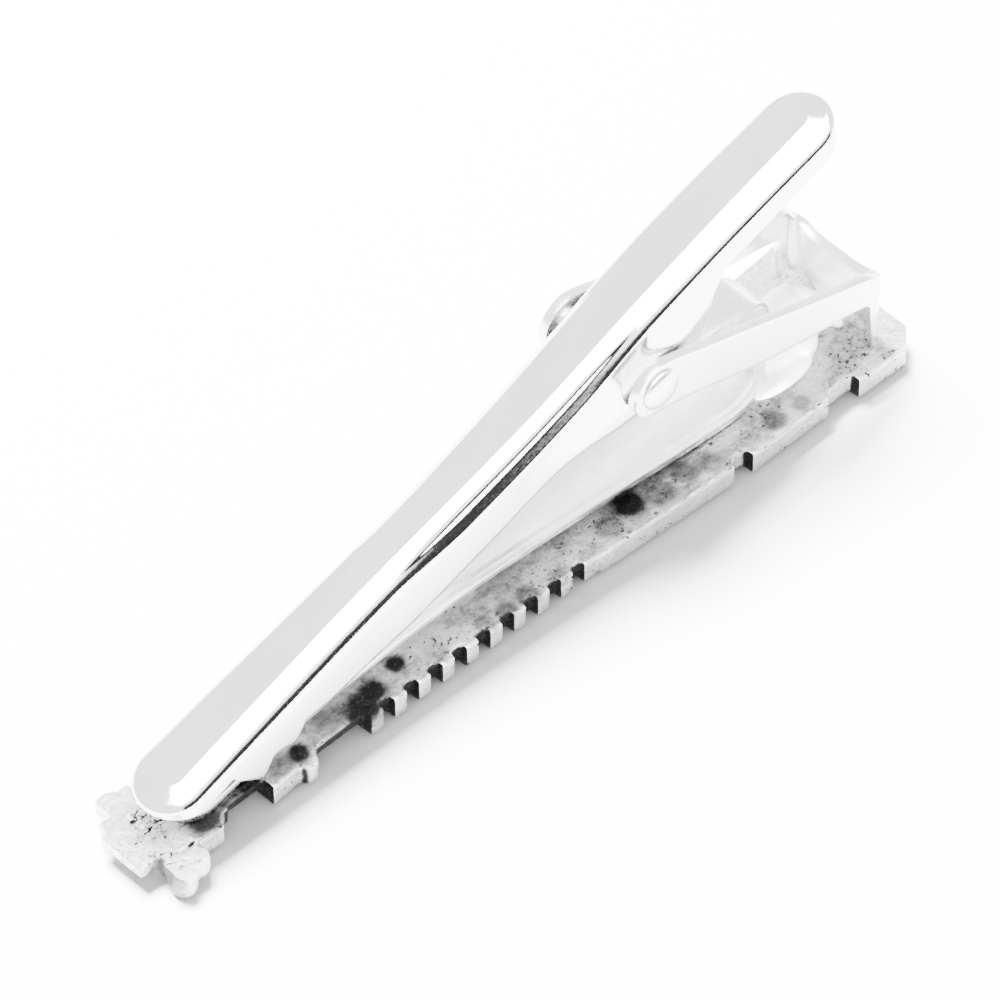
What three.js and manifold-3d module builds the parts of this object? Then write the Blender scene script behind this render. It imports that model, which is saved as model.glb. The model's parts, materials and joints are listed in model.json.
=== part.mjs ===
// A tie bar lying on its front face: a cast front bar like a banded baton, and on its back a sprung
// pinch clasp, made of a sheet metal strip, a folded yoke, a channel lever, a rivet and a leaf spring.
// Millimetres. +X runs along the bar from its slim end to its hinge end, and +Z is up, away from the
// front face. Shapes are drawn from the slim end (u = 0); the outer group moves the middle to X = 0.
import * as THREE from "three";
import { mergeVertices } from "three/addons/utils/BufferGeometryUtils.js";
import Module from "manifold-3d";

const wasm = await Module();
wasm.setup();

// Driving dimensions.
const BAR_LENGTH = 61.3;
const BAR_THICKNESS = 2;
const FRONT_STEP = 0.6; // height of the narrower front layer of the bar
const FRONT_INSET = 0.5; // how much narrower that layer is on each side
const POCKET_DEPTH = 0.9; // the two necks are hollow from the back
const RIM = 0.45; // wall left round a pocket
const RIB_COUNT = 10;
const RIB_START = 17.4;
const RIB_PITCH = 1.885;
const RIB_SHARE = 0.55; // share of the pitch that stands proud
const RIB_DEPTH = 0.5;
const RIB_HALF_WIDTH = 3.1; // of the first rib
const RIB_GROWTH = 0.078; // how much wider each next rib is
const STRIP_SHEET = 0.5;
const STRIP = [3.2, 53]; // first and last u of the base strip
const LEVER_SHEET = 0.5;
const LEVER = [2.1, 57.9];
const YOKE_SHEET = 0.6;
const YOKE_HALF_WIDTH = 4;
const YOKE_BACK = 60;
const YOKE_CORNER = 1;
const YOKE_TOP = 6.3; // height of the back wall
const YOKE_FOOT = 0.8; // length of the legs that carry the arms down to the bar
const WALL_DIP = { halfWidth: 1.8, depth: 0.9 };
const PIVOT = new THREE.Vector2(40.3, 11.25); // u and height above the bar's back
const PIN_RADIUS = 0.8;
const PIN_CLEARANCE = 0.05;
const HEAD_RADIUS = 1.4;
const HEAD_DOME = 0.5;
const SPRING_SHEET = 0.4;
const SPRING_COIL = 1.3; // middle radius of the spring's turn round the pin
const FIT_GAP = 0.3;

// Stations: [u, value] pairs, joined by straight lines.
const STRIP_TOP = [
  [3.2, 0.5], [4.4, 0.5], [8, 1.35], [13, 2.25], [18, 2.7], [25, 2.8],
  [31, 2.3], [38, 1.5], [46, 0.8], [50, 0.5], [53, 0.5],
];
const STRIP_WIDTH = [[3.2, 1.62], [18, 1.75], [38, 2], [47, 2.4], [53, 2.5]];
const LEVER_TOP = [
  [2.1, 3.3], [8, 5.2], [15, 7.2], [25, 10], [33, 12.55], [40, 15.15], [46, 17.1], [57.9, 20.4],
];
const LEVER_WIDTH = [[2.1, 2.45], [8, 2.4], [20, 2.2], [33, 2.35], [40, 2.5], [57.9, 2.6]];
const EAR_WIDTH = [[34, 2.3], [37.5, 3.3], [46.4, 3.3]];

const material = (color, roughness, metalness = 1) =>
  new THREE.MeshStandardMaterial({ color, roughness, metalness });
const CAST = material(0x9a9a9a, 0.5);
const PLATED = material(0xd8d8dc, 0.25);
const SPRING_STEEL = material(0x9fa3a8, 0.3);
const SOLDER = material(0xc2c2c0, 0.45);

// The value of a station list at u.
function at(stations, u) {
  const next = stations.findIndex(([position]) => position >= u);
  if (next <= 0) return next === 0 ? stations[0][1] : stations.at(-1)[1];
  const [u0, value0] = stations[next - 1];
  const [u1, value1] = stations[next];
  return THREE.MathUtils.mapLinear(u, u0, u1, value0, value1);
}

// Positions from one u to another, closer together near both ends.
function spread([start, end], count) {
  return Array.from({ length: count + 1 }, (_, i) => {
    return start + ((end - start) * (1 - Math.cos((Math.PI * i) / count))) / 2;
  });
}

const points = (pairs) => pairs.map(([x, y]) => new THREE.Vector2(x, y));

// A closed outline with the same [u, half width] on both sides of the middle line.
function mirroredOutline(pairs) {
  const near = pairs.map(([u, w]) => [u, -w]);
  const far = pairs.filter(([, w]) => w > 0).reverse();
  return new THREE.Shape(points([...near, ...far]));
}

// The outline of a strip with elliptic ends, whose half width follows the stations.
function roundEnded([start, end], stations, noseLength, tailLength, inset = 0) {
  const pairs = spread([start + inset, end - inset], 36).map((u) => {
    const nose = Math.min((u - start - inset) / noseLength, 1);
    const tail = Math.min((end - inset - u) / tailLength, 1);
    const ends = Math.sqrt(nose * (2 - nose) * tail * (2 - tail));
    return [u, Math.max((at(stations, u) - inset) * ends, 0)];
  });
  return mirroredOutline(pairs);
}

// The outline of a sheet of the given thickness, centred on a path.
function sheetAlong(path, thickness, steps) {
  const curve = new THREE.SplineCurve(points(path));
  const sides = [1, -1].map((side) =>
    Array.from({ length: steps + 1 }, (_, i) => {
      const tangent = curve.getTangentAt(i / steps);
      const normal = new THREE.Vector2(-tangent.y, tangent.x);
      return curve.getPointAt(i / steps).addScaledVector(normal, (side * thickness) / 2);
    }),
  );
  return new THREE.Shape([...sides[0], ...sides[1].reverse()]);
}

// A manifold solid of a closed geometry.
function solid(geometry) {
  const bare = geometry.clone();
  bare.deleteAttribute("normal");
  bare.deleteAttribute("uv");
  const merged = mergeVertices(bare, 1e-4);
  return new wasm.Manifold(
    new wasm.Mesh({
      numProp: 3,
      vertProperties: merged.attributes.position.array,
      triVerts: new Uint32Array(merged.index.array),
    }),
  );
}

// A plan outline, raised from one height to another.
function plate(shape, low, high, curveSegments = 12) {
  const options = { depth: high - low, bevelEnabled: false, curveSegments };
  return solid(new THREE.ExtrudeGeometry(shape, options).translate(0, 0, low));
}

// A side outline in u and height, widened to both sides of the middle line.
function slab(shape, halfWidth, curveSegments = 12) {
  const options = { depth: 2 * halfWidth, bevelEnabled: false, curveSegments };
  const geometry = new THREE.ExtrudeGeometry(shape, options);
  return solid(geometry.rotateX(Math.PI / 2).translate(0, halfWidth, 0));
}

function box([x0, y0, z0], [x1, y1, z1]) {
  const geometry = new THREE.BoxGeometry(x1 - x0, y1 - y0, z1 - z0);
  return solid(geometry.translate((x0 + x1) / 2, (y0 + y1) / 2, (z0 + z1) / 2));
}

// A rod across the part, through the pivot.
function pivotRod(radius, halfLength) {
  const geometry = new THREE.CylinderGeometry(radius, radius, 2 * halfLength, 24);
  return solid(geometry.translate(PIVOT.x, 0, PIVOT.y));
}

function part(name, shape, look) {
  const { vertProperties, triVerts } = shape.getMesh();
  const geometry = new THREE.BufferGeometry();
  geometry.setAttribute("position", new THREE.BufferAttribute(vertProperties, 3));
  geometry.setIndex(new THREE.BufferAttribute(triVerts, 1));
  geometry.computeVertexNormals();
  const mesh = new THREE.Mesh(geometry, look);
  mesh.name = name;
  return mesh;
}

// Half widths of the bar from end to end: collar, neck, boss, neck, ribs, grip and end block.
function barPairs() {
  const pairs = [[0, 1.7], [3.4, 2], [3.4, 2.65], [5.4, 2.65], [5.4, 2.1], [6.4, 2.1]];
  pairs.push([6.4, 2], [9.7, 2], [9.7, 2.8], [10.4, 3], [12.6, 3], [13.3, 2.8], [13.3, 2.45], [17.2, 2.45]);
  for (let i = 0; i < RIB_COUNT; i++) {
    const start = RIB_START + i * RIB_PITCH;
    const end = start + RIB_SHARE * RIB_PITCH;
    const width = RIB_HALF_WIDTH + RIB_GROWTH * i;
    pairs.push([start, width - RIB_DEPTH], [start, width], [end, width], [end, width - RIB_DEPTH]);
  }
  pairs.push([35.7, 3.4], [35.7, 4], [45.4, 4.85], [46.1, 4.6], [46.1, 4.2], [47.4, 4.2], [47.4, 5]);
  pairs.push([53.8, 5.15], [53.8, 4.75], [56.1, 4.75], [56.1, 5.45], [57, 5.7]);
  pairs.push([BAR_LENGTH, 5.7]);
  return pairs;
}

function frontBar() {
  const pairs = barPairs();
  const inside = (u) => THREE.MathUtils.clamp(u, FRONT_INSET, BAR_LENGTH - FRONT_INSET);
  const inset = pairs.map(([u, w]) => [inside(u), w - FRONT_INSET]);
  let bar = plate(mirroredOutline(pairs), FRONT_STEP, BAR_THICKNESS);
  bar = bar.add(plate(mirroredOutline(inset.slice(1, -1)), 0, FRONT_STEP + 0.1));
  const crossPiece = points([[1.4, 3.8], [1.4, -2], [2.4, -2.4], [2.4, -4.4], [3.6, -4.1], [3.6, 3.8]]);
  bar = bar.add(plate(new THREE.Shape(crossPiece), FRONT_STEP, BAR_THICKNESS));
  const lobe = new THREE.Shape().absarc(1.9, -3.5, 0.9, 0, 2 * Math.PI);
  bar = bar.add(plate(lobe, FRONT_STEP, BAR_THICKNESS));
  for (const [start, end, width] of [[6.8, 9.5, 2], [13.6, 17, 2.45]]) {
    const floor = BAR_THICKNESS - POCKET_DEPTH;
    const half = width - RIM;
    bar = bar.subtract(box([start, -half, floor], [end, half, BAR_THICKNESS + 1]));
  }
  return bar;
}

function baseStrip() {
  const top = spread(STRIP, 36).map((u) => [u, at(STRIP_TOP, u)]);
  const bottom = top.map(([u, z]) => [u, z - STRIP_SHEET]).reverse();
  const side = slab(new THREE.Shape(points([...top.reverse(), ...bottom.reverse()])), 3);
  return side.intersect(plate(roundEnded(STRIP, STRIP_WIDTH, 1.6, 5), -1, 5));
}

// The yoke's side: round eyes at the pivot, arms sloping down to legs that stand on the bar.
function yokeSide() {
  const shape = new THREE.Shape();
  shape.moveTo(YOKE_BACK, 0);
  shape.lineTo(YOKE_BACK, YOKE_TOP - 1.4);
  shape.quadraticCurveTo(YOKE_BACK, YOKE_TOP - 0.2, 58.4, YOKE_TOP);
  shape.bezierCurveTo(53.5, 7.9, 48, 10.4, 46, 11.1);
  shape.bezierCurveTo(44, 11.9, 42, 12.9, 41.4, PIVOT.y + 1.67);
  shape.absarc(PIVOT.x, PIVOT.y, 2, 0.99, 4.95, false);
  shape.bezierCurveTo(42.5, 8.9, 47, 6.8, 49.5, 6.1);
  shape.lineTo(57.6, 4.1);
  shape.bezierCurveTo(58.6, 3.8, 59, 3.2, YOKE_BACK - YOKE_FOOT, 2.2);
  shape.lineTo(YOKE_BACK - YOKE_FOOT, 0);
  return shape;
}

// A U in plan, open towards the slim end.
function yokePlan(inset) {
  const w = YOKE_HALF_WIDTH - inset;
  const back = YOKE_BACK - inset;
  const r = YOKE_CORNER - inset / 2;
  const shape = new THREE.Shape();
  shape.moveTo(36, -w);
  shape.lineTo(back - r, -w);
  shape.absarc(back - r, r - w, r, -Math.PI / 2, 0);
  shape.lineTo(back, w - r);
  shape.absarc(back - r, w - r, r, 0, Math.PI / 2);
  shape.lineTo(36, w);
  return shape;
}

function yoke() {
  const sheet = plate(yokePlan(0), -1, 16).subtract(plate(yokePlan(YOKE_SHEET), -2, 17));
  const dip = WALL_DIP.halfWidth;
  const top = YOKE_TOP;
  const low = top - WALL_DIP.depth;
  const farSide = [[-dip, top + 1], [-dip, top - 0.3], [-dip + 0.6, low]];
  const nearSide = [[dip - 0.6, low], [dip, top - 0.3], [dip, top + 1]];
  const notch = new THREE.Shape(points([...farSide, ...nearSide]));
  const across = new THREE.ExtrudeGeometry(notch, { depth: 2, bevelEnabled: false });
  across.rotateX(Math.PI / 2).rotateZ(Math.PI / 2).translate(YOKE_BACK - 1.5, 0, 0);
  return sheet
    .intersect(slab(yokeSide(), 5, 10))
    .subtract(solid(across))
    .subtract(pivotRod(PIN_RADIUS + PIN_CLEARANCE, 6));
}

// The lever's side: a curved top, a toothed skirt, deep ears at the pivot and a shallow tail skirt.
function leverSide(drop) {
  const top = spread(LEVER, 30).map((u) => [u, at(LEVER_TOP, u) - drop]);
  if (drop) return new THREE.Shape(points([...top, [LEVER[1], -3], [LEVER[0], -3]].reverse()));
  const tail = [[57.9, 18.2], [47, 15], [46.2, 13.8], [45.6, 11.6], [43.8, 9.8], [41, 9.2], [36, 8.8]];
  const skirt = [[33.3, 8.2], [29.4, 6.6], [24, 4.8], [21.7, 4.1], [15, 2.9], [12.9, 3.1]];
  const teeth = [[12.6, 2], [12.1, 1.7], [10.3, 2.1], [9.7, 0.8], [9.2, 1], [7.3, 2.9], [5, 2.1], [2.1, 2.5]];
  return new THREE.Shape(points([...top, ...tail, ...skirt, ...teeth].reverse()));
}

// The lever's mass before it is hollowed, or the hollow itself when inset by the sheet.
function leverBlock(inset) {
  const body = plate(roundEnded(LEVER, LEVER_WIDTH, 2, 2, inset), -4, 24);
  const flare = new THREE.Shape(
    points([[-3.3, 8], [3.3, 8], [3.3, 12.4], [2.5, 14.2], [2.5, 16], [-2.5, 16], [-2.5, 14.2], [-3.3, 12.4]]
      .map(([y, z]) => [y - Math.sign(y) * inset, z])),
  );
  const wedge = new THREE.ExtrudeGeometry(flare, { depth: 12.4, bevelEnabled: false });
  wedge.rotateX(Math.PI / 2).rotateZ(Math.PI / 2).translate(34, 0, 0);
  const ears = mirroredOutline(EAR_WIDTH.map(([u, w]) => [u, w - inset]));
  const ear = solid(wedge).intersect(plate(ears, -4, 24));
  return body.add(ear).intersect(slab(leverSide(inset), 5));
}

function lever() {
  return leverBlock(0)
    .subtract(leverBlock(LEVER_SHEET))
    .subtract(pivotRod(PIN_RADIUS + PIN_CLEARANCE, 6));
}

// A shaft with two domed heads, turned about the hinge axis.
function pivotRivet() {
  const face = YOKE_HALF_WIDTH + 0.02;
  const profile = [[0, -face - HEAD_DOME]];
  for (const angle of [0.35, 0.7, 1.05, 1.3]) {
    profile.push([HEAD_RADIUS * Math.sin(angle), -face - HEAD_DOME * Math.cos(angle)]);
  }
  profile.push([HEAD_RADIUS, -face], [PIN_RADIUS, -face]);
  const mirrored = profile.map(([r, y]) => [r, -y]).reverse();
  const geometry = new THREE.LatheGeometry(points([...profile, ...mirrored]), 24);
  return solid(geometry.translate(PIVOT.x, 0, PIVOT.y));
}

// One leaf bent round the pin: its upper leg bears under the lever's tail, and its lower leg runs back
// between the yoke's arms, crowns over and turns down on to the base strip.
function leafSpring() {
  const turn = [100, 140, 180, 220, 260].map((degrees) => {
    const angle = THREE.MathUtils.degToRad(degrees);
    return [PIVOT.x + SPRING_COIL * Math.cos(angle), PIVOT.y + SPRING_COIL * Math.sin(angle)];
  });
  const upper = [[53, 18.1], [47, 15.5], [43, 13.6], ...turn];
  const lower = [turn.at(-1), [45, 9.1], [49.5, 8.35], [51.7, 7.6], [53.2, 5.9], [53.4, 3.6], [52.4, 1.0]];
  const upperPlan = mirroredOutline([[36, 1.6], [54, 1.4]]);
  const lowerWidth = [[38, 1.6], [45, 1.9], [49, 2.8], [51.2, 2.9], [52.6, 2.2], [53.1, 1.2], [55, 1.2]];
  const lowerPlan = mirroredOutline(lowerWidth);
  const upperLeg = slab(sheetAlong(upper, SPRING_SHEET, 30), 4).intersect(plate(upperPlan, 8, 20));
  const lowerLeg = slab(sheetAlong(lower, SPRING_SHEET, 30), 4).intersect(plate(lowerPlan, 0, 12));
  return upperLeg.add(lowerLeg);
}

// The pool of solder between the strip's end and the yoke's back wall.
function rearSolder() {
  const start = STRIP[1] + FIT_GAP;
  const end = YOKE_BACK - YOKE_SHEET - FIT_GAP;
  const outline = [[start, -2.3], [55.4, -2.7], [end - 0.6, -2.4], [end, -1.6]];
  const far = outline.map(([u, v]) => [u, -0.9 * v]).reverse();
  return plate(new THREE.Shape(points([...outline, ...far])), 0, 0.5);
}

const clasp = new THREE.Group();
clasp.position.z = BAR_THICKNESS;
clasp.add(
  part("base_strip", baseStrip(), PLATED),
  part("yoke", yoke(), PLATED),
  part("lever", lever(), PLATED),
  part("pivot_rivet", pivotRivet(), PLATED),
  part("leaf_spring", leafSpring(), SPRING_STEEL),
  part("rear_solder", rearSolder(), SOLDER),
);

const tieBar = new THREE.Group();
tieBar.position.x = -BAR_LENGTH / 2;
tieBar.add(part("front_bar", frontBar(), CAST), clasp);

export default tieBar;
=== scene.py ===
"""A tie bar with a sprung pinch clasp, seen from the back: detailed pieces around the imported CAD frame."""
import json
import math

import bmesh
import bpy
import numpy as np
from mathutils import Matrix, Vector


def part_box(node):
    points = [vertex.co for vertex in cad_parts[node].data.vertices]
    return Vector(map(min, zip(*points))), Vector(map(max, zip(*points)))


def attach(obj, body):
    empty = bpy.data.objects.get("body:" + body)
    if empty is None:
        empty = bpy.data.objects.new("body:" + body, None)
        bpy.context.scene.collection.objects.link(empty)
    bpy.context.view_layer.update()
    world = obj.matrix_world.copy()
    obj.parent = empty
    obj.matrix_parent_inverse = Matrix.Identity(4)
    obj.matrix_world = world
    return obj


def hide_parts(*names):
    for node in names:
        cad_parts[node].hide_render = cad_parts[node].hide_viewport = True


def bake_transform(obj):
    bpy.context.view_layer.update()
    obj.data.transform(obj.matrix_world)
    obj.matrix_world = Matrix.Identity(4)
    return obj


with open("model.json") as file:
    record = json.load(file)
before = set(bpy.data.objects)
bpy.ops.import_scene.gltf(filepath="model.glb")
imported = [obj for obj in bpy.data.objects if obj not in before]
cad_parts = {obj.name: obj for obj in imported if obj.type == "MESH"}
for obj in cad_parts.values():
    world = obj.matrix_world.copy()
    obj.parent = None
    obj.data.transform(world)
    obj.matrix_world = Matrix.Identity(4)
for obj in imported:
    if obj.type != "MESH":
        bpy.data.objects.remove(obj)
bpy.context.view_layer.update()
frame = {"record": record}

# Shapes are drawn in millimetres: u from the bar's slim end, y across, z above the bar's back.
MM = 0.001
BAR_LOW, BAR_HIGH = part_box("front_bar")
LEVER_LOW, LEVER_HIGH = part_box("lever")
STRIP_LOW, STRIP_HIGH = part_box("base_strip")
YOKE_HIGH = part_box("yoke")[1]
PIVOT = Vector(frame["record"]["behaviour"]["joints"][0]["pos_m"])


def to_u(x):
    return (x - BAR_LOW[0]) / MM


def to_z(height):
    return (height - BAR_HIGH[2]) / MM


BAR_THICKNESS = (BAR_HIGH[2] - BAR_LOW[2]) / MM
BAR_LENGTH = (BAR_HIGH[0] - BAR_LOW[0]) / MM
PIN_U = to_u(PIVOT.x)
PIN_Z = to_z(PIVOT.z)
PIN_RADIUS = 0.8
HEAD_RADIUS = 1.4
HEAD_DOME = 0.5
LEVER_START = to_u(LEVER_LOW[0])
LEVER_END = to_u(LEVER_HIGH[0])
LEVER_SHEET = 0.5
FOLD_RADIUS = 1.0
FACET_SLOPE = math.radians(28)
FACET_REACH = 1.42  # how far in the sloping facet above the fold ends
STRIP_START = to_u(STRIP_LOW[0])
STRIP_END = to_u(STRIP_HIGH[0])
STRIP_SHEET = 0.5
YOKE_BACK = to_u(YOKE_HIGH[0])
YOKE_HALF = YOKE_HIGH[1] / MM
YOKE_SHEET = 0.6
YOKE_CORNER = 1.3
YOKE_EYE = 2.0  # radius of the arms' round ends
SPRING_SHEET = 0.4
SPRING_COIL = 1.3  # middle radius of the spring's turn round the pin
RIB_COUNT = 10
RIB_START = 17.4
RIB_PITCH = 1.885
RIB_LENGTH = 1.04
RIB_HALF = 3.1
RIB_GROWTH = 0.078
FLOOR_RADIUS = 420
FLAG_RADIUS = 430
FLAG_HEIGHT = 480
FLAG_FADE = 230  # height from which the screen gets paler
FLAG_TURN = (-125, -40)  # degrees about the bar's middle

# Stations: (position, value) pairs, which smooth() joins by a curve and along() by straight lines.
STRIP_TOP = [(3.2, 0.5), (4.4, 0.58), (8, 1.35), (13, 2.25), (18, 2.7), (25, 2.8), (31, 2.3), (38, 1.5),
             (46, 0.8), (50, 0.52), (53, 0.5)]
STRIP_WIDTH = [(3.2, 1.62), (18, 1.75), (38, 2.0), (47, 2.4), (53, 2.5)]
LEVER_TOP = [(2.1, 3.3), (8, 5.2), (15, 7.2), (25, 10), (33, 12.55), (40, 15.15), (46, 17.1), (57.9, 20.25)]
LEVER_WIDTH = [(2.1, 2.4), (8, 2.35), (20, 2.15), (33, 2.35), (40, 2.42), (50, 2.38), (57.9, 2.3)]
SHOULDER_SCALE = [(2.1, 0.5), (6, 0.85), (12, 1), (26, 1.1), (38, 0.95), (45, 0.65), (57.9, 0.56)]
FACET_SPREAD = [(2.1, 1), (36, 1), (57.9, 1.2)]  # how much wider the facet gets towards the tail
# How far the creased shoulder lies under the top, by inset from the lever's edge.
CREASED = [(0, 1.42), (0.02, 1.31), (0.07, 1.24), (0.13, 1.18), (0.42, 0.88), (0.47, 0.82), (0.5, 0.74),
           (0.53, 0.62), (0.56, 0.52), (0.61, 0.45), (0.7, 0.37), (0.85, 0.28), (FACET_REACH, 0)]
SHOULDER_INSETS = [0, 0.01, 0.03, 0.07, 0.13, 0.2, 0.28, 0.36, 0.42, 0.47, 0.5, 0.53, 0.56, 0.61, 0.7,
                   0.85, 1.1, 1.36, 1.42, 1.5, 1.6, 1.7, 1.8]
CREASE = [(21, 0), (26, 1), (36, 1), (41, 0)]  # where the fold has a second, sharper bend along it
SKIRT_FLARE = [(31, 0), (34, 0.18), (38, 0.72), (43, 0.72), (47, 0.2), (50, 0.2), (58, 0.35)]
SKIRT_EASE = 2.8  # depth under the shoulder over which the skirt leans out
TAIL_EASE = 1.5  # a point leans out by at most its distance from the middle line divided by this
SKIRT = [(2.1, 2.45), (5, 2.05), (7.1, 2.95), (7.5, 2.3), (9.2, 1.0), (9.7, 0.85), (10.2, 1.95),
         (10.6, 2.1), (11.4, 2.0), (12.1, 1.7), (12.5, 2.1), (12.9, 3.0), (15, 2.95), (21.7, 4.1), (24, 4.8),
         (29.4, 6.6), (33.3, 8.2), (36, 8.85), (41, 9.25), (43.8, 9.85), (45.2, 11.3), (46.0, 13.6),
         (47.2, 15.1), (57.9, 18.25)]
ARM_TOP = [(41.4, 12.92), (44, 11.85), (46, 11.1), (50, 9.5), (54, 7.9), (57, 6.75), (58.3, 6.25), (59, 5.85),
           (59.6, 5.3), (60, 4.8)]
ARM_BOTTOM = [(43, 8.5), (46, 7.35), (49.5, 6.15), (53.4, 5.1), (57.4, 4.2), (58.3, 3.9), (58.5, 3.2),
              (58.6, 0.0), (60, 0.0)]
LEG_START = 58.3  # from here the sheet runs down to the bar
WALL_DIP = 0.45  # how far the back wall's top edge sags between its corners
WALL_HALF = 2.8


def along(stations, position):
    """The value at a position on straight lines between stations."""
    positions, values = zip(*stations)
    return float(np.interp(position, positions, values))


def smooth(stations, position):
    """The value at a position on a smooth curve through the stations."""
    positions, values = (np.array(part, float) for part in zip(*stations))
    position = min(max(position, positions[0]), positions[-1])
    slopes = np.gradient(values, positions)
    i = min(int(np.searchsorted(positions, position, "right")) - 1, len(positions) - 2)
    span = positions[i + 1] - positions[i]
    t = (position - positions[i]) / span
    ends = values[i] * (1 + 2 * t) * (1 - t) ** 2 + values[i + 1] * t * t * (3 - 2 * t)
    return ends + span * (slopes[i] * t * (1 - t) ** 2 - slopes[i + 1] * t * t * (1 - t))


def spot(u, y, z):
    """A place in the frame, in metres."""
    return Vector((BAR_LOW[0] + u * MM, y * MM, BAR_HIGH[2] + z * MM))


# Mesh building

def new_object(name, points, faces):
    mesh = bpy.data.meshes.new(name)
    mesh.from_pydata([spot(*p) for p in points], [], faces)
    obj = bpy.data.objects.new(name, mesh)
    bpy.context.collection.objects.link(obj)
    tidy_mesh(mesh)
    return obj


def object_from(bm, name):
    """Moves a bmesh into a new object."""
    mesh = bpy.data.meshes.new(name)
    bm.to_mesh(mesh)
    bm.free()
    obj = bpy.data.objects.new(name, mesh)
    bpy.context.collection.objects.link(obj)
    return obj


def tidy_mesh(mesh):
    """Welds coincident points and turns all faces outwards."""
    bm = bmesh.new()
    bm.from_mesh(mesh)
    bmesh.ops.remove_doubles(bm, verts=bm.verts, dist=0.002 * MM)
    bmesh.ops.recalc_face_normals(bm, faces=bm.faces)
    bm.to_mesh(mesh)
    bm.free()


def grid_faces(rows, columns, closed=False, first=0):
    """Quads over a grid of points stored row by row."""
    faces = []
    for i in range(rows - 1):
        for j in range(columns if closed else columns - 1):
            k = (j + 1) % columns
            a, b = first + i * columns, first + (i + 1) * columns
            faces.append((a + j, a + k, b + k, b + j))
    return faces


def modifier(obj, kind, **settings):
    added = obj.modifiers.new(kind.lower(), kind)
    for key, value in settings.items():
        setattr(added, key, value)
    return added


def apply_all(obj):
    """Replaces the mesh with what its modifiers make."""
    graph = bpy.context.evaluated_depsgraph_get()
    mesh = bpy.data.meshes.new_from_object(obj.evaluated_get(graph))
    obj.modifiers.clear()
    obj.data = mesh
    return obj


def shade(obj, sharp_degrees=30):
    obj.data.shade_smooth()
    obj.data.set_sharp_from_angle(angle=math.radians(sharp_degrees))
    return obj


def as_sheet(obj, thickness, edge=0.07, offset=-1):
    """Thickens a skin inwards and rounds its cut edges."""
    modifier(obj, "SOLIDIFY", thickness=thickness * MM, offset=offset, use_even_offset=True)
    modifier(obj, "BEVEL", width=edge * MM, segments=2, limit_method="ANGLE", angle_limit=math.radians(50))
    apply_all(obj)
    return shade(obj)


def prism(name, outline, low, high, edge=0.0):
    """A plan outline raised between two heights, with its lower edges rounded."""
    count = len(outline)
    points = [(u, y, low) for u, y in outline] + [(u, y, high) for u, y in outline]
    faces = grid_faces(2, count, closed=True)
    faces += [tuple(range(count)), tuple(range(2 * count - 1, count - 1, -1))]
    obj = new_object(name, points, faces)
    if edge:
        bm = bmesh.new()
        bm.from_mesh(obj.data)
        floor = spot(0, 0, low).z + 0.01 * MM
        lower = [e for e in bm.edges if all(v.co.z < floor for v in e.verts)]
        bmesh.ops.bevel(bm, geom=lower, offset=edge * MM, segments=3, profile=0.5, affect="EDGES")
        bm.to_mesh(obj.data)
        bm.free()
    return obj


def disc(name, u, y, radius, low, high, edge=0.0, steps=32):
    turns = [2 * math.pi * i / steps for i in range(steps)]
    outline = [(u + radius * math.cos(t), y + radius * math.sin(t)) for t in turns]
    return prism(name, outline, low, high, edge)


def join(objects):
    """Joins meshes into the first one."""
    bm = bmesh.new()
    for obj in objects:
        bm.from_mesh(obj.data)
    bm.to_mesh(objects[0].data)
    bm.free()
    for obj in objects[1:]:
        bpy.data.objects.remove(obj)
    return objects[0]


def cut(obj, cutter):
    modifier(obj, "BOOLEAN", object=cutter, operation="DIFFERENCE", solver="EXACT")
    apply_all(obj)
    bpy.data.objects.remove(cutter)
    return obj


def fuse(obj, voxel, rounds):
    """Melts joined solids into one skin, as a casting or a solder joint is."""
    modifier(obj, "REMESH", mode="VOXEL", voxel_size=voxel * MM, adaptivity=0.0)
    modifier(obj, "SMOOTH", factor=0.5, iterations=rounds)
    apply_all(obj)
    obj.data.shade_smooth()
    return obj


def end_spread(start, end, nose, tail, step):
    """Positions along a strip, closer together over its round ends."""
    turns = np.linspace(0, math.pi / 2, 14)
    head = [start + nose * (1 - math.cos(t)) for t in turns]
    rear = [end - tail * (1 - math.cos(t)) for t in turns[::-1]]
    middle = np.linspace(start + nose, end - tail, int((end - start - nose - tail) / step))[1:-1]
    return head + list(middle) + rear


def strip_side(start, end, widths, nose, tail, step):
    """The outline's near side as (u, half width), from the rounded nose to the rounded tail."""
    side = []
    for u in end_spread(start, end, nose, tail, step):
        front = min((u - start) / nose, 1)
        back = min((end - u) / tail, 1)
        ends = math.sqrt(max(front * (2 - front) * back * (2 - back), 0))
        side.append((u, smooth(widths, u) * ends))
    return side


def inset_side(side, inset):
    """A strip side moved inwards along its own normal."""
    if not inset:
        return list(side)
    moved = []
    for i, (u, w) in enumerate(side):
        before, after = side[max(i - 1, 0)], side[min(i + 1, len(side) - 1)]
        du, dw = after[0] - before[0], after[1] - before[1]
        if i == 0:
            du, dw = 0, 1
        if i == len(side) - 1:
            du, dw = 0, -1
        size = math.hypot(du, dw)
        moved.append((u + inset * dw / size, max(w - inset * du / size, 0)))
    return moved


def loop_of(side, height):
    """A closed loop round the strip: along the near side and back along the far side."""
    near = [(u, -w, height(u, -w)) for u, w in side]
    far = [(u, w, height(u, w)) for u, w in side[1:-1]][::-1]
    return near + far


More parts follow.
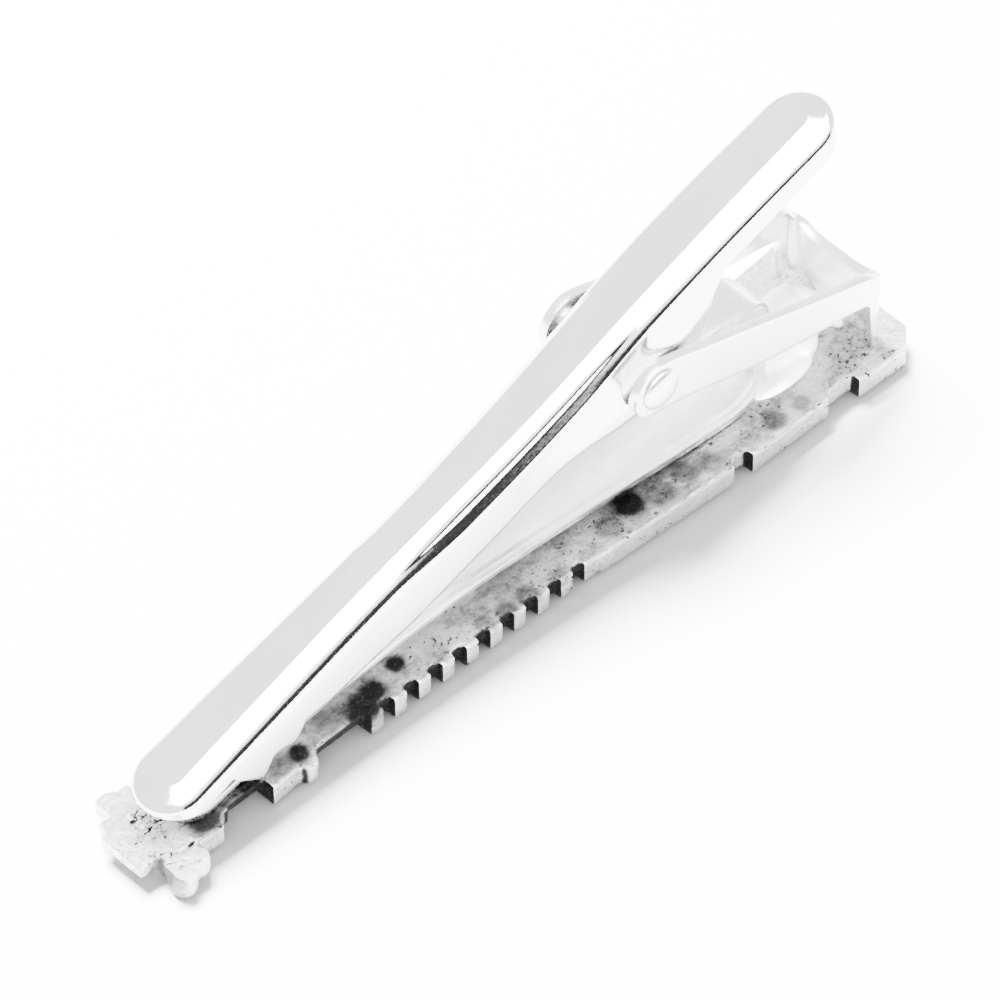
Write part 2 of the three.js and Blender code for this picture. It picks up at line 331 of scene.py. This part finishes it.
def pan(name, side, rings, columns=10):
    """A skin with a rim of rings, from the outermost inwards, and a flat top across the last one."""
    points = []
    for inset, height in rings:
        points += loop_of(inset_side(side, inset), height)
    size = 2 * len(side) - 2
    faces = grid_faces(len(rings), size, closed=True)
    first = len(points)
    last_inset, last_height = rings[-1]
    top = inset_side(side, last_inset)
    for u, w in top:
        for j in range(columns + 1):
            y = w * (2 * j / columns - 1)
            points.append((u, y, last_height(u, y)))
    faces += grid_faces(len(top), columns + 1, first=first)
    return new_object(name, points, faces)


# The pieces

def round_drop(inset):
    """How far the shoulder lies under the top at an inset: a round fold, then a sloping facet."""
    slope = math.tan(FACET_SLOPE)
    fold_inset = FOLD_RADIUS * (1 - math.sin(FACET_SLOPE))
    if inset >= fold_inset:
        return max(FACET_REACH - inset, 0) * slope
    level = (FACET_REACH - fold_inset) * slope + FOLD_RADIUS * math.cos(FACET_SLOPE)
    return level - math.sqrt(FOLD_RADIUS**2 - (FOLD_RADIUS - inset) ** 2)


def lever_height(inset):
    """The lever's upper surface at an inset from its edge, as a function of place."""
    def height(u, y):
        weight = along(CREASE, u)
        share = inset / along(FACET_SPREAD, u)
        drop = round_drop(share) * (1 - weight) + along(CREASED, share) * weight
        return smooth(LEVER_TOP, u) - drop * along(SHOULDER_SCALE, u)
    return height


def skirt_height(share):
    """Heights down the skirt: share 0 is under the shoulder and share 1 is the cut edge."""
    def height(u, y):
        top = lever_height(0)(u, y)
        return top + share * (min(along(SKIRT, u), top - 0.15) - top)
    return height


def make_lever():
    side = strip_side(LEVER_START, LEVER_END, LEVER_WIDTH, 2.4, 2.4, 0.22)
    rings = [(0, skirt_height(share)) for share in np.linspace(1, 0.08, 12)]
    rings += [(inset, lever_height(inset)) for inset in SHOULDER_INSETS]
    obj = pan("lever_shell", side, rings)
    flare_skirt(obj)
    return as_sheet(obj, LEVER_SHEET)


def flare_skirt(obj):
    """Leans the skirt outwards at the ears and the tail, more towards its lower edge."""
    for vertex in obj.data.vertices:
        u, z = to_u(vertex.co.x), to_z(vertex.co.z)
        depth = min((lever_height(0)(u, 0) - z) / SKIRT_EASE, 1)
        if depth > 0 and SKIRT_FLARE[0][0] < u < SKIRT_FLARE[-1][0]:
            lean = max(smooth(SKIRT_FLARE, u), 0) * depth * depth * (3 - 2 * depth) * MM
            vertex.co.y += max(min(vertex.co.y / TAIL_EASE, lean), -lean)


def make_strip():
    side = strip_side(STRIP_START + 0.8, STRIP_END, STRIP_WIDTH, 1.6, 5.0, 0.3)
    groove = [(0, 0), (0.38, 0), (0.43, -0.03), (0.5, -0.03), (0.58, 0.0), (0.8, 0.02)]
    rings = [(inset, lambda u, y, rise=rise: smooth(STRIP_TOP, u) + rise) for inset, rise in groove]
    obj = pan("strip_band", side, rings)
    return as_sheet(obj, STRIP_SHEET - 0.02, edge=0.06)


def yoke_path():
    """Stations round the yoke in plan, as (u, y): near arm, back wall, far arm."""
    corner = YOKE_BACK - YOKE_CORNER
    eye = [PIN_U - YOKE_EYE * math.cos(t) for t in np.linspace(0, math.pi / 2, 14)]
    arm = eye + list(np.linspace(PIN_U, corner, 60))[1:]
    near = [(u, -YOKE_HALF) for u in arm]
    bend = []
    for t in np.linspace(0, math.pi / 2, 9)[1:]:
        bend.append((corner + YOKE_CORNER * math.sin(t), YOKE_CORNER * (1 - math.cos(t)) - YOKE_HALF))
    wall = [(YOKE_BACK, y) for y in np.linspace(bend[-1][1], 0, 16)[1:]]
    half = near + bend + wall
    return half + [(u, -y) for u, y in half[-2::-1]]


def yoke_limits(u, y):
    """The sheet's lower and upper edge at a place in plan."""
    if u <= PIN_U:
        reach = math.sqrt(max(YOKE_EYE**2 - (PIN_U - u) ** 2, 0))
        return PIN_Z - reach, PIN_Z + reach
    if u < LEG_START:
        bottom = smooth([(PIN_U, PIN_Z - YOKE_EYE), *ARM_BOTTOM[:6]], u)
    else:
        bottom = along(ARM_BOTTOM, u)
    top = smooth([(PIN_U, PIN_Z + YOKE_EYE), *ARM_TOP], u)
    if u > YOKE_BACK - 0.01:
        top -= WALL_DIP * max(1 - (y / WALL_HALF) ** 4, 0)
    return bottom, top


def make_yoke():
    path = yoke_path()
    rows = 13
    points = []
    for share in np.linspace(0, 1, rows):
        for u, y in path:
            low, high = yoke_limits(u, y)
            points.append((u, y, low + share * (high - low)))
    obj = new_object("yoke_sheet", points, grid_faces(rows, len(path)))
    face_outwards(obj)
    as_sheet(obj, YOKE_SHEET, edge=0.09)
    return obj


def face_outwards(obj):
    """Turns an open skin's faces away from the middle of the clasp."""
    bm = bmesh.new()
    bm.from_mesh(obj.data)
    outward = sum(f.normal.y * f.calc_center_median().y for f in bm.faces)
    if outward < 0:
        bmesh.ops.reverse_faces(bm, faces=bm.faces)
    bm.to_mesh(obj.data)
    bm.free()


def make_rivet():
    """A shaft with two upset heads, turned about the hinge axis."""
    face = YOKE_HALF + 0.02
    dome = np.linspace(0, 1.5, 10)
    profile = [(HEAD_RADIUS * math.sin(t), face + HEAD_DOME * math.cos(t) ** 0.8) for t in dome]
    profile += [(HEAD_RADIUS, face + 0.02), (HEAD_RADIUS - 0.05, face), (PIN_RADIUS, face)]
    profile += [(PIN_RADIUS, share * face) for share in (0.6, 0.2)]
    profile += [(r, -y) for r, y in profile[::-1]]
    turns = 48
    points = []
    for r, y in profile:
        for i in range(turns):
            angle = 2 * math.pi * i / turns
            points.append((PIN_U + r * math.cos(angle), y, PIN_Z + r * math.sin(angle)))
    obj = new_object("rivet_turned", points, grid_faces(len(profile), turns, closed=True))
    return shade(obj, 40)


def spring_path():
    """The leaf's middle line from the lever's tail, round the pin, to its foot, with half widths."""
    turn = []
    for degrees in np.linspace(100, 260, 12):
        angle = math.radians(degrees)
        turn.append((PIN_U + SPRING_COIL * math.cos(angle), PIN_Z + SPRING_COIL * math.sin(angle), 1.6))
    upper = [(53, 18.1, 1.2), (51, 17.25, 1.5), (47, 15.5, 1.6), (43, 13.6, 1.6)]
    lower = [(45, 9.1, 1.8), (48, 8.6, 1.8), (50, 8.15, 1.65), (51, 7.7, 1.5), (51.8, 7.0, 1.3),
             (52.3, 6.1, 1.2), (52.5, 5.1, 1.1), (52.5, 3.6, 1.1), (52.3, 2.0, 1.1), (52, 1.0, 1.1)]
    return upper + turn + lower


def make_spring():
    stations = spring_path()
    steps = [0.0]
    for (u0, z0, _), (u1, z1, _) in zip(stations, stations[1:]):
        steps.append(steps[-1] + math.hypot(u1 - u0, z1 - z0))
    lanes = [[(s, p[k]) for s, p in zip(steps, stations)] for k in range(3)]
    points = []
    columns = 9
    samples = np.linspace(0, steps[-1], 110)
    for s in samples:
        u, z, width = (smooth(lane, s) for lane in lanes)
        for j in range(columns):
            points.append((u, width * (2 * j / (columns - 1) - 1), z))
    obj = new_object("spring_leaf", points, grid_faces(len(samples), columns))
    return as_sheet(obj, SPRING_SHEET, edge=0.06, offset=0)


def box_outline(start, end, near, far):
    """A plan block, with its near and far half widths at its start and end."""
    return [(start, -near[0]), (end, -near[1]), (end, far[1]), (start, far[0])]


def bar_blocks():
    """The casting's solids: (start, end, half width at start, half width at end, thickness)."""
    full = BAR_THICKNESS
    blocks = [(0.25, 4.0, 1.7, 1.9, 1.1), (3.6, 5.95, 2.45, 2.75, full), (5.8, 6.9, 2.05, 2.05, 1.5)]
    blocks += [(6.7, 10.1, 1.8, 1.85, 0.95), (9.8, 12.2, 2.8, 2.65, full), (12.0, 17.8, 2.4, 2.5, 0.95)]
    blocks.append((17.3, 36.0, 2.5, 3.5, 1.6))
    for i in range(RIB_COUNT):
        start = RIB_START + i * RIB_PITCH
        width = RIB_HALF + RIB_GROWTH * i
        blocks.append((start, start + RIB_LENGTH, width, width + 0.04, full))
    blocks += [(35.6, 46.1, 4.0, 4.85, full), (45.9, 47.7, 4.2, 4.3, 1.3), (47.4, 53.9, 5.0, 5.15, full)]
    return blocks + [(53.7, 56.3, 4.75, 4.75, 1.7), (56.1, BAR_LENGTH, 5.45, 5.7, full)]


def make_bar():
    solids = []
    for i, (start, end, w0, w1, depth) in enumerate(bar_blocks()):
        outline = box_outline(start, end, (w0, w1), (w0, w1))
        solids.append(prism(f"block_{i}", outline, -depth, 0, edge=0.42 * min(depth, 1.4) / 1.4))
    solids += slim_end_solids()
    bar = fuse(join(solids), 0.13, 0)
    cut(bar, prism("pocket", box_outline(7.1, 9.6, (1.35, 1.35), (1.35, 1.35)), -0.65, 1))
    rear = BAR_LENGTH
    corner = [(rear - 2, -6.3), (rear + 1, -6.3), (rear + 1, -3.6), (rear - 0.1, -4.5)]
    cut(bar, prism("corner", corner, -3, 1))
    cut(bar, disc("dimple", 46.8, -4.8, 0.62, -3, 1))
    cut(bar, cone("scoop", (1.64, -1.87, 0.1), (0.8, -2.2, -2.7), 1.35))
    cut(bar, cone("hinge_end_pit", (rear - 1.1, -4.3, -0.5), (rear + 0.3, -6.1, -1.1), 0.5))
    cut(bar, prism("slit", box_outline(2.6, 3.9, (2.5, 2.45), (-2.25, -2.2)), -1.2, 1))
    fuse(bar, 0.11, 1)
    bar.name = "bar_casting"
    pit_patch(bar, 2.7, 0.7, 1.5)
    roughen(bar, 0.05, 0.6)
    return bar


def cone(name, tip, base, radius):
    """A round cone from its tip to the middle of its base."""
    start, end = spot(*tip), spot(*base)
    axis = end - start
    bm = bmesh.new()
    turned = axis.to_track_quat("Z", "Y").to_matrix().to_4x4()
    turned.translation = (start + end) / 2
    bmesh.ops.create_cone(bm, cap_ends=True, segments=32, radius1=0.01 * MM, radius2=radius * MM,
                          depth=axis.length, matrix=turned)
    return object_from(bm, name)


def slim_end_solids():
    """The small cross-piece at the slim end: a far tab, a near lobe and a round pad."""
    full = BAR_THICKNESS
    far_tab = [(1.8, 1.5), (4.1, 1.5), (4.1, 3.45), (3.2, 3.55), (2.7, 3.95), (1.8, 3.9)]
    near_arm = [(1.45, -1.2), (1.35, -2.8), (1.45, -3.4), (2.6, -3.6), (3.5, -2.8), (3.9, -1.2)]
    return [
        prism("far_tab", far_tab, -1.5, 0, edge=0.3),
        disc("notch_lump", 1.25, 2.15, 0.45, -1.3, -0.1, edge=0.25),
        prism("near_arm", near_arm, -full, 0, edge=0.3),
        disc("near_lobe", 2.05, -3.4, 0.8, -full, 0, edge=0.4),
        disc("near_pad", 3.25, -3.15, 0.82, -1.4, 0, edge=0.35),
        disc("boss_ball", 12.75, -2.5, 0.7, -1.9, -0.1, edge=0.35),
        disc("notch_ball", 46.8, -4.45, 0.42, -1.5, -0.15, edge=0.2),
    ]


def pit_patch(obj, u, y, radius):
    """Deep ragged pits where the strip's front end was soldered."""
    group = obj.vertex_groups.new(name="pits")
    centre = spot(u, y, 0)
    for vertex in obj.data.vertices:
        away = (vertex.co - centre).length / (radius * MM)
        if away < 1 and vertex.co.z > centre.z - 0.3 * MM:
            group.add([vertex.index], 1 - away * away, "REPLACE")
    texture = bpy.data.textures.new("pit_skin", "CLOUDS")
    texture.noise_scale = 0.32 * MM
    texture.noise_depth = 2
    modifier(obj, "DISPLACE", texture=texture, strength=0.5 * MM, mid_level=0.62, texture_coords="LOCAL",
             vertex_group="pits")
    apply_all(obj)


def roughen(obj, height, size):
    """Uneven cast skin, as real displacement."""
    texture = bpy.data.textures.new(obj.name + "_skin", "CLOUDS")
    texture.noise_scale = size * MM
    texture.noise_depth = 3
    modifier(obj, "DISPLACE", texture=texture, strength=height * MM, mid_level=0.5, texture_coords="LOCAL")
    apply_all(obj)
    return shade(obj, 60)


def make_solder():
    """The pool of solder round the strip's rear end, running up to the back wall."""
    # Each lump: u, y, half length, half width, height.
    lumps = [(53.9, 0, 2.6, 2.3, 0.42), (55.2, 0.3, 2.2, 2.5, 0.45), (57.3, 1.0, 2.2, 2.3, 0.4),
             (53.0, -1.9, 2.6, 1.1, 0.3), (52.6, 1.9, 2.2, 0.9, 0.3), (58.4, 0.6, 0.8, 2.5, 0.7)]
    bm = bmesh.new()
    for u, y, ru, ry, rz in lumps:
        made = bmesh.ops.create_icosphere(bm, subdivisions=4, radius=1)
        centre = spot(u, y, 0)
        for vertex in made["verts"]:
            z = max(vertex.co.z, -0.05)
            vertex.co = Vector((centre.x + vertex.co.x * ru * MM, vertex.co.y * ry * MM + centre.y,
                                centre.z + z * rz * MM))
    obj = object_from(bm, "solder_pool")
    fuse(obj, 0.1, 4)
    return roughen(obj, 0.05, 1.2)


# Materials

def nodes_of(name):
    material = bpy.data.materials.new(name)
    material.use_nodes = True
    tree = material.node_tree
    return material, tree, tree.nodes["Principled BSDF"]


def node(tree, kind, **settings):
    made = tree.nodes.new(kind)
    for key, value in settings.items():
        setattr(made, key, value)
    return made


def object_space(tree, scale):
    """Object coordinates in units of scale millimetres along each axis."""
    source = node(tree, "ShaderNodeTexCoord")
    mapping = node(tree, "ShaderNodeMapping")
    mapping.inputs["Scale"].default_value = [1 / (s * MM) for s in scale]
    tree.links.new(source.outputs["Object"], mapping.inputs["Vector"])
    return mapping.outputs["Vector"]


def noise(tree, scale, detail=4.0, roughness=0.55):
    """Noise whose features are about scale millimetres along each axis."""
    made = node(tree, "ShaderNodeTexNoise")
    made.inputs["Scale"].default_value = 1.0
    made.inputs["Detail"].default_value = detail
    made.inputs["Roughness"].default_value = roughness
    tree.links.new(object_space(tree, scale), made.inputs["Vector"])
    return made.outputs["Fac"]


def remap(tree, value, low, high, to_low=0.0, to_high=1.0):
    made = node(tree, "ShaderNodeMapRange", interpolation_type="SMOOTHSTEP")
    for key, number in zip(("From Min", "From Max", "To Min", "To Max"), (low, high, to_low, to_high)):
        made.inputs[key].default_value = number
    tree.links.new(value, made.inputs["Value"])
    return made.outputs["Result"]


def mixed(tree, factor, first, second):
    """A colour between two, each a colour or a socket."""
    made = node(tree, "ShaderNodeMix", data_type="RGBA")
    tree.links.new(factor, made.inputs["Factor"])
    for socket, value in ((made.inputs[6], first), (made.inputs[7], second)):
        if isinstance(value, tuple):
            socket.default_value = (*value, 1)
        else:
            tree.links.new(value, socket)
    return made.outputs[2]


def maths(tree, operation, first, second):
    made = node(tree, "ShaderNodeMath", operation=operation)
    for socket, value in zip(made.inputs, (first, second)):
        if isinstance(value, (int, float)):
            socket.default_value = value
        else:
            tree.links.new(value, socket)
    return made.outputs[0]


def bump(tree, shader, height, distance):
    made = node(tree, "ShaderNodeBump")
    made.inputs["Distance"].default_value = distance * MM
    made.inputs["Strength"].default_value = 1.0
    tree.links.new(height, made.inputs["Height"])
    tree.links.new(made.outputs["Normal"], shader.inputs["Normal"])


def grey(value):
    return (value, value, value * 1.01)


def plated_metal(name, tone=0.9, roughness=(0.05, 0.13), torn=0.0):
    """Polished nickel plate: faint lengthwise polishing lines, small pits and slight waviness."""
    material, tree, shader = nodes_of(name)
    shader.inputs["Metallic"].default_value = 1.0
    lines = noise(tree, (9, 0.09, 0.12), 3)
    cloud = noise(tree, (7, 2.5, 2.5), 4)
    shader_colour = mixed(tree, remap(tree, cloud, 0.35, 0.65), grey(tone - 0.08), grey(tone + 0.03))
    tree.links.new(shader_colour, shader.inputs["Base Color"])
    tree.links.new(remap(tree, lines, 0.3, 0.75, *roughness), shader.inputs["Roughness"])
    pits = remap(tree, noise(tree, (0.35, 0.35, 0.35), 1), 0.24, 0.3)
    relief = maths(tree, "ADD", maths(tree, "MULTIPLY", lines, 0.0008), maths(tree, "MULTIPLY", pits, 0.0006))
    scratches = maths(tree, "MULTIPLY", noise(tree, (0.22, 0.4, 0.4), 3), torn)
    bump(tree, shader, maths(tree, "ADD", relief, scratches), 1.0)
    return material


def stain_and_shade(tree, u, y, radius, strength):
    """A soft ragged dark patch on the bar's back, used both for black stains and for painted shade: strength
    in its middle, 0 outside it.
    """
    source = node(tree, "ShaderNodeTexCoord")
    distance = node(tree, "ShaderNodeVectorMath", operation="DISTANCE")
    tree.links.new(source.outputs["Object"], distance.inputs[0])
    distance.inputs[1].default_value = spot(u, y, 0)
    ragged = noise(tree, (0.9, 0.9, 0.9), 5, 0.7)
    reach = maths(tree, "ADD", distance.outputs["Value"], maths(tree, "MULTIPLY", ragged, radius * 0.7 * MM))
    return remap(tree, reach, 0.85 * radius * MM, 1.5 * radius * MM, strength, 0.0)


# Dark spots on the bar's back: (u, y, radius, strength). All are black stains except the first, which is
# painted shade at the scoop's apex.
STAIN_AND_SHADE_SPOTS = [(1.4, -2.0, 0.45, 0.9), (5.4, -1.6, 1.4, 0.95), (9.0, -1.3, 1.4, 1), (7.4, -1.4, 1.2, 0.8),
          (12.6, -2.0, 0.9, 1), (11.3, -1.8, 1.1, 0.5), (15.7, -1.8, 1.5, 0.6), (17.5, -2.3, 1.5, 1),
          (18.9, -1.8, 1.1, 1), (21.2, -1.2, 0.85, 1), (23.5, -2.4, 1.0, 0.35), (27.0, -2.8, 0.9, 0.7),
          (28.6, -3.0, 0.9, 0.8), (30.4, -3.1, 0.9, 0.8), (32.6, -3.3, 0.8, 0.6), (39.4, -2.4, 1.4, 1),
          (41.4, -3.0, 1.3, 0.75), (37.4, -2.8, 1.1, 0.7), (43.6, -3.0, 1.2, 0.7), (45.2, -3.6, 1.0, 0.6),
          (50.3, -4.0, 0.9, 0.75), (52.4, -4.2, 0.7, 0.6)]


def axes_of(tree, kind, output):
    """The X, Y and Z parts of a node's vector output, such as Position or Normal."""
    split = node(tree, "ShaderNodeSeparateXYZ")
    tree.links.new(node(tree, kind).outputs[output], split.inputs[0])
    return split.outputs


def painted_shade_faces(tree):
    """1 where shade is painted: on the faces that look along the bar, and on the flanks between the ribs."""
    normal = axes_of(tree, "ShaderNodeNewGeometry", "Normal")
    place = axes_of(tree, "ShaderNodeNewGeometry", "Position")
    slim, hinge, neck, smooth_bar = (spot(u, 0, 0).x for u in (4.5, 57.5, 6.6, 35.7))
    along_bar = remap(tree, maths(tree, "ABSOLUTE", normal["X"], 0), 0.5, 0.75)
    corner = remap(tree, place["Y"], -1.9 * MM, -1.7 * MM, 0.6, 0)
    beyond = maths(tree, "MAXIMUM", remap(tree, place["X"], slim - MM, slim), corner)
    before = remap(tree, place["X"], hinge - MM, hinge, 1, 0)
    along_bar = maths(tree, "MULTIPLY", along_bar, maths(tree, "MULTIPLY", beyond, before))
    growth = RIB_GROWTH / RIB_PITCH
    limit = maths(tree, "ADD", maths(tree, "MULTIPLY", place["X"], growth), (RIB_HALF - 0.2) * MM)
    limit = maths(tree, "SUBTRACT", limit, spot(RIB_START, 0, 0).x * growth)
    depth = maths(tree, "SUBTRACT", limit, maths(tree, "ABSOLUTE", place["Y"], 0))
    inside = remap(tree, depth, -0.05 * MM, 0.1 * MM)
    flank = maths(tree, "MULTIPLY", inside, remap(tree, normal["Z"], 0.3, 0.6, 1, 0))
    for edge, low, high in ((neck, 0, 1), (smooth_bar, 1, 0)):
        flank = maths(tree, "MULTIPLY", flank, remap(tree, place["X"], edge - 0.2 * MM, edge, low, high))
    return maths(tree, "MAXIMUM", along_bar, flank)


def cast_metal(name):
    """Tarnished white metal: pale rubbed patches, grey patina, black stains and pits, with painted shade on
    the faces along the bar, in creases and in the scoop, and a painted highlight on sharp edges.
    """
    material, tree, shader = nodes_of(name)
    normal = axes_of(tree, "ShaderNodeNewGeometry", "Normal")
    place = axes_of(tree, "ShaderNodeNewGeometry", "Position")
    patches = remap(tree, noise(tree, (3.5, 1.8, 1.8), 6, 0.62), 0.42, 0.6)
    colour = mixed(tree, patches, grey(0.09), grey(0.27))
    fine = remap(tree, noise(tree, (0.5, 0.5, 0.5), 5, 0.7), 0.35, 0.7)
    colour = mixed(tree, maths(tree, "MULTIPLY", fine, 0.35), colour, grey(0.45))
    rubbed = remap(tree, normal["Z"], 0.25, 0.6, 1, 0)
    for start, end in ((4.6, 3.4), (58.9, 59.7)):
        worn_end = remap(tree, place["X"], spot(start, 0, 0).x, spot(end, 0, 0).x)
        rubbed = maths(tree, "MAXIMUM", rubbed, worn_end)
    clean = mixed(tree, fine, grey(0.55), grey(0.8))
    colour = mixed(tree, maths(tree, "MULTIPLY", rubbed, 0.9), colour, clean)
    shape = node(tree, "ShaderNodeNewGeometry").outputs["Pointiness"]
    # Painted highlight: sharp convex edges turned almost white.
    colour = mixed(tree, remap(tree, shape, 0.52, 0.57), colour, grey(0.95))
    for u, y, radius, strength in STAIN_AND_SHADE_SPOTS:
        colour = mixed(tree, stain_and_shade(tree, u, y, radius, strength), colour, grey(0.002))
    # Painted shade on the faces that look along the bar and on the flanks between the ribs.
    colour = mixed(tree, painted_shade_faces(tree), colour, grey(0.008))
    # Painted shade inside the scoop at the slim end, on faces turned towards the slim end, darkest at its
    # apex.
    facing_end = remap(tree, normal["X"], -0.6, -0.25, 1, 0)
    scoop = maths(tree, "MULTIPLY", stain_and_shade(tree, 1.7, -2.3, 2.1, 1), facing_end)
    colour = mixed(tree, scoop, colour, grey(0.1))
    specks = remap(tree, noise(tree, (0.3, 0.3, 0.3), 2), 0.34, 0.4, 1, 0)
    spread = remap(tree, noise(tree, (4, 2, 2), 2), 0.45, 0.56)
    colour = mixed(tree, maths(tree, "MULTIPLY", specks, spread), colour, grey(0.015))
    # Painted shade in creases, where the surface curves inwards.
    colour = mixed(tree, remap(tree, shape, 0.43, 0.485, 1, 0), colour, grey(0.02))
    colour = mixed(tree, remap(tree, place["Y"], -0.3 * MM, 1.2 * MM, 0, 0.85), colour, clean)
    flux_pits = remap(tree, noise(tree, (0.55, 0.3, 0.3), 4, 0.7), 0.44, 0.49, 1, 0)
    flux = maths(tree, "MULTIPLY", flux_pits, stain_and_shade(tree, 2.9, 0.6, 1.6, 1))
    colour = mixed(tree, flux, colour, grey(0.004))
    tree.links.new(colour, shader.inputs["Base Color"])
    shader.inputs["Metallic"].default_value = 0.95
    tree.links.new(remap(tree, fine, 0, 1, 0.45, 0.28), shader.inputs["Roughness"])
    bump(tree, shader, maths(tree, "SUBTRACT", fine, specks), 0.03)
    return material


def solder_metal(name):
    """Dull soft solder with a frosted skin."""
    material, tree, shader = nodes_of(name)
    cloud = remap(tree, noise(tree, (1.6, 1.6, 1.6), 5, 0.65), 0.35, 0.65)
    tree.links.new(mixed(tree, cloud, grey(0.82), grey(0.94)), shader.inputs["Base Color"])
    shader.inputs["Metallic"].default_value = 0.9
    tree.links.new(remap(tree, cloud, 0, 1, 0.42, 0.26), shader.inputs["Roughness"])
    bump(tree, shader, noise(tree, (0.4, 0.4, 0.4), 4), 0.02)
    return material


def floor_material():
    material, tree, shader = nodes_of("white_table")
    cloud = noise(tree, (60, 60, 60), 3)
    tree.links.new(mixed(tree, cloud, grey(0.4), grey(0.41)), shader.inputs["Base Color"])
    shader.inputs["Roughness"].default_value = 0.85
    shader.inputs["Specular IOR Level"].default_value = 0.1
    return material


# The stage

def make_floor():
    steps = 96
    turns = [2 * math.pi * i / steps for i in range(steps)]
    middle = BAR_LENGTH / 2
    ring = [(middle + FLOOR_RADIUS * math.cos(t), FLOOR_RADIUS * math.sin(t)) for t in turns]
    points = [(u, y, -BAR_THICKNESS) for u, y in ring]
    floor = new_object("white_floor", points, [tuple(range(steps))])
    floor.data.materials.append(floor_material())


def make_flag():
    """A dark screen on the near side, paler towards its top: the metal reflects it as a soft black line."""
    material, tree, shader = nodes_of("black_screen")
    height_above = axes_of(tree, "ShaderNodeNewGeometry", "Position")["Z"]
    fade = remap(tree, height_above, FLAG_FADE * MM, FLAG_HEIGHT * MM)
    tree.links.new(mixed(tree, fade, grey(0.003), grey(0.3)), shader.inputs["Base Color"])
    shader.inputs["Specular IOR Level"].default_value = 0
    shader.inputs["Roughness"].default_value = 1.0
    steps = 24
    points = []
    for z in (-BAR_THICKNESS, FLAG_HEIGHT):
        for degrees in np.linspace(*FLAG_TURN, steps + 1):
            angle = math.radians(degrees)
            points.append((BAR_LENGTH / 2 + FLAG_RADIUS * math.cos(angle), FLAG_RADIUS * math.sin(angle), z))
    flag = new_object("black_flag", points, grid_faces(2, steps + 1))
    flag.data.materials.append(material)
    flag.visible_camera = False
    flag.visible_diffuse = False
    flag.visible_shadow = False


def area_light(name, place, target, size, power):
    data = bpy.data.lights.new(name, "AREA")
    data.shape = "RECTANGLE"
    data.size, data.size_y = size
    data.energy = power
    light = bpy.data.objects.new(name, data)
    light.location = place
    light.rotation_euler = (Vector(target) - Vector(place)).to_track_quat("-Z", "Y").to_euler()
    bpy.context.collection.objects.link(light)
    return light


def make_lights():
    world = bpy.data.worlds.new("studio")
    world.use_nodes = True
    background = world.node_tree.nodes["Background"]
    background.inputs["Color"].default_value = (1, 1, 1, 1)
    background.inputs["Strength"].default_value = 3.15
    bpy.context.scene.world = world
    key = area_light("key_box", (0.02, 0.2, 0.54), (0, 0, 0), (0.26, 0.2), 130)
    key.visible_glossy = False
    top = area_light("top_box", (0.0, -0.12, 0.5), (0, 0, 0), (0.7, 0.38), 19)
    top.visible_diffuse = False


def make_camera():
    """The camera looks down on the back of the bar from its near slim-end side."""
    azimuth, elevation = math.radians(-45), math.radians(50.5)
    distance = 0.55
    target = spot(31.4, 0.3, 5.0)
    level = math.cos(elevation)
    back = Vector((math.sin(azimuth) * level, -math.cos(azimuth) * level, math.sin(elevation)))
    data = bpy.data.cameras.new("camera")
    data.lens = 338
    data.sensor_width = 36
    data.clip_start, data.clip_end = 0.01, 5
    camera = bpy.data.objects.new("camera", data)
    camera.location = target + back * distance
    camera.rotation_euler = (-back).to_track_quat("-Z", "Y").to_euler()
    bpy.context.collection.objects.link(camera)
    bpy.context.scene.camera = camera


def dress(obj, node_name, body, material):
    """Puts a piece in the CAD node's place on its body."""
    obj.data.materials.clear()
    obj.data.materials.append(material)
    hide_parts(node_name)
    if body:
        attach(obj, body)


make_camera()
lever_plate = plated_metal("nickel_plate_lever", torn=0.009)
dress(make_lever(), "lever", "lever", lever_plate)
strip_plate = plated_metal("nickel_plate_strip", 0.93, (0.22, 0.34))
dress(make_strip(), "base_strip", "root", strip_plate)
yoke_plate = plated_metal("nickel_plate_yoke", 0.95, (0.2, 0.32))
dress(make_yoke(), "yoke", "root", yoke_plate)
rivet_plate = plated_metal("nickel_plate_rivet", 0.9, (0.28, 0.4))
dress(make_rivet(), "pivot_rivet", "root", rivet_plate)
dress(make_bar(), "front_bar", "root", cast_metal("tarnished_casting"))
dress(make_solder(), "rear_solder", "root", solder_metal("soft_solder"))
spring = make_spring()
dress(spring, "leaf_spring", None, plated_metal("bright_spring_steel", 0.88, (0.24, 0.36)))
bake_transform(spring)
make_floor()
make_flag()
make_lights()
